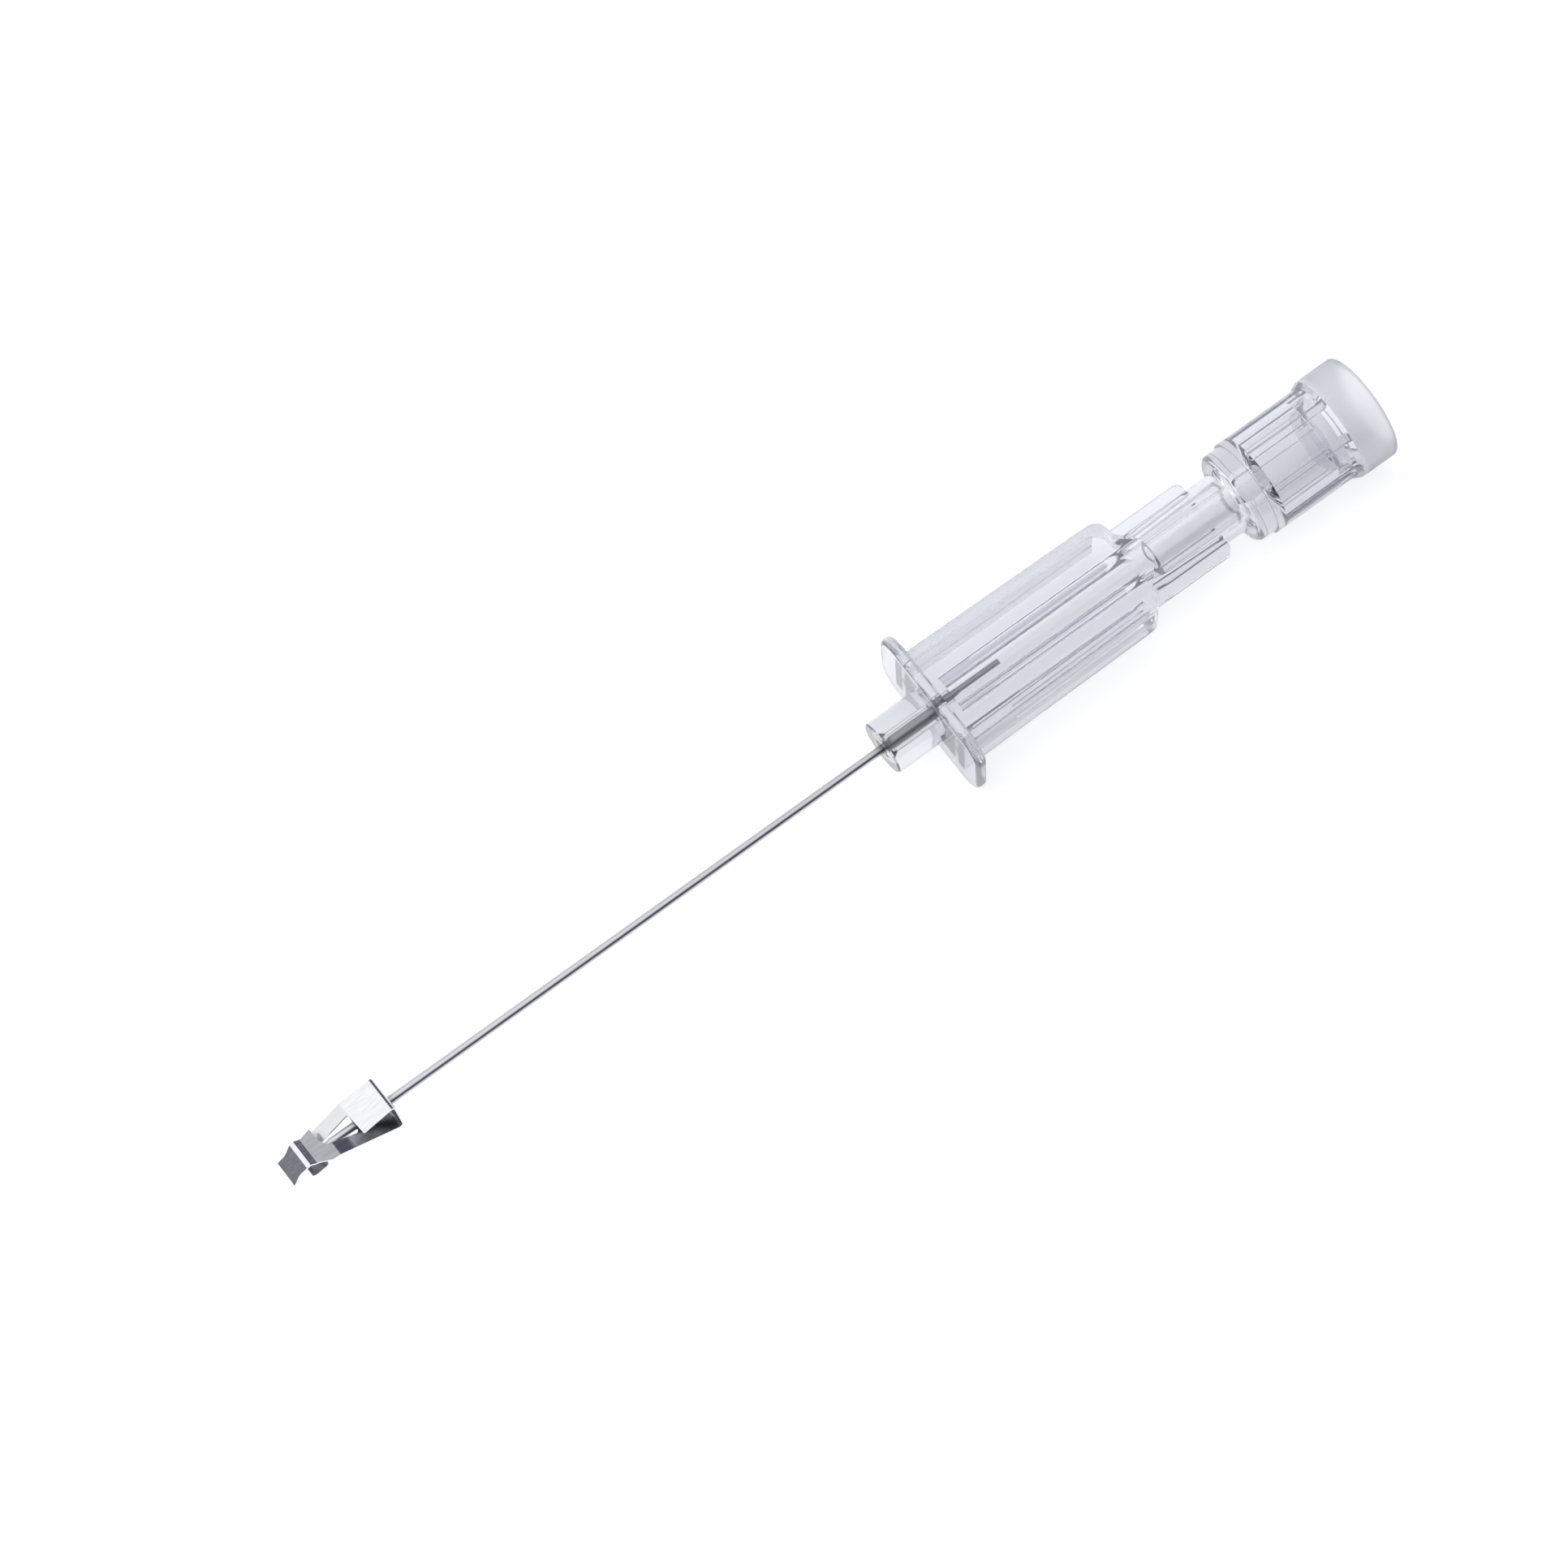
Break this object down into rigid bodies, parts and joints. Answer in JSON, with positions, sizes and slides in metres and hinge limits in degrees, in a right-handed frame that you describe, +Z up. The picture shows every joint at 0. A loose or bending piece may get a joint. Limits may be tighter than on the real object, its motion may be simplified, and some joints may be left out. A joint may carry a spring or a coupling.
{
  "type": "safety iv cannula needle assembly",
  "caption": "Introducer needle with a folded tip guard, in a clear finger-grip hub with a flash chamber and a vented plug, as it is after the catheter has been placed.",
  "frame": {"origin": "centre of the hub nose's front face, on the needle axis", "axes": "+X along the needle axis towards the vent plug, with the needle's tip at -X; +Z up, away from the surface it lies on; +Y across the thumb flange"},
  "size_m": [0.0926, 0.0114, 0.0084],
  "materials": {
    "clear_hub": "clear moulded polycarbonate, glossy",
    "clear_plug": "clear moulded polystyrene, glossy",
    "needle_steel": "drawn stainless steel, satin",
    "spring_steel": "rolled stainless spring sheet",
    "adhesive": "cured adhesive, clear",
    "filter": "porous white disc"
  },
  "bodies": {
    "hub": {"needle_hub": "clear_hub", "needle": "needle_steel", "needle_adhesive": "adhesive"},
    "plug": {"vent_plug": "clear_plug", "vent_filter": "filter"},
    "clip": {"safety_clip": "spring_steel"}
  },
  "joints": [
    {"name": "plug_pull", "type": "slide", "parent": "hub", "child": "plug", "axis": [1, 0, 0], "range_m": [0, 0.008]},
    {"name": "clip_turn", "type": "hinge", "parent": "hub", "child": "clip", "pos_m": [-0.04197, 0, 0], "axis": [1, 0, 0], "continuous": true}
  ]
}
